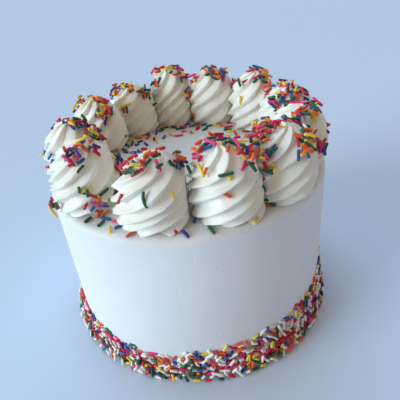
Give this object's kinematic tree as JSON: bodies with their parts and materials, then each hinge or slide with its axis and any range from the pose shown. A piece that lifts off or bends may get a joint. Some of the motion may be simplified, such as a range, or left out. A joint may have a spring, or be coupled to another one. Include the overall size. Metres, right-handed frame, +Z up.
{
  "type": "celebration cake",
  "caption": "Round, tall iced celebration cake with a smooth white side, a ring of piped swirls round its top edge and a band of coloured sugar strands round its foot.",
  "frame": {"origin": "middle of the flat underside of the cake", "axes": "+Z up, -Y towards the front, where the pair of swirls nearest the camera sits, +X to the right of someone looking at the front"},
  "size_m": [0.1656, 0.1679, 0.1264],
  "materials": {
    "smooth_icing": "smooth white buttercream with a soft satin sheen and fine pits",
    "piped_icing": "piped white buttercream with sharp ridges and a soft satin sheen"
  },
  "bodies": {
    "root": {"cake_body": "smooth_icing", "swirl_01": "piped_icing", "swirl_02": "piped_icing", "swirl_03": "piped_icing", "swirl_04": "piped_icing", "swirl_05": "piped_icing", "swirl_06": "piped_icing", "swirl_07": "piped_icing", "swirl_08": "piped_icing", "swirl_09": "piped_icing", "swirl_10": "piped_icing", "swirl_11": "piped_icing", "swirl_12": "piped_icing"}
  },
  "joints": []
}
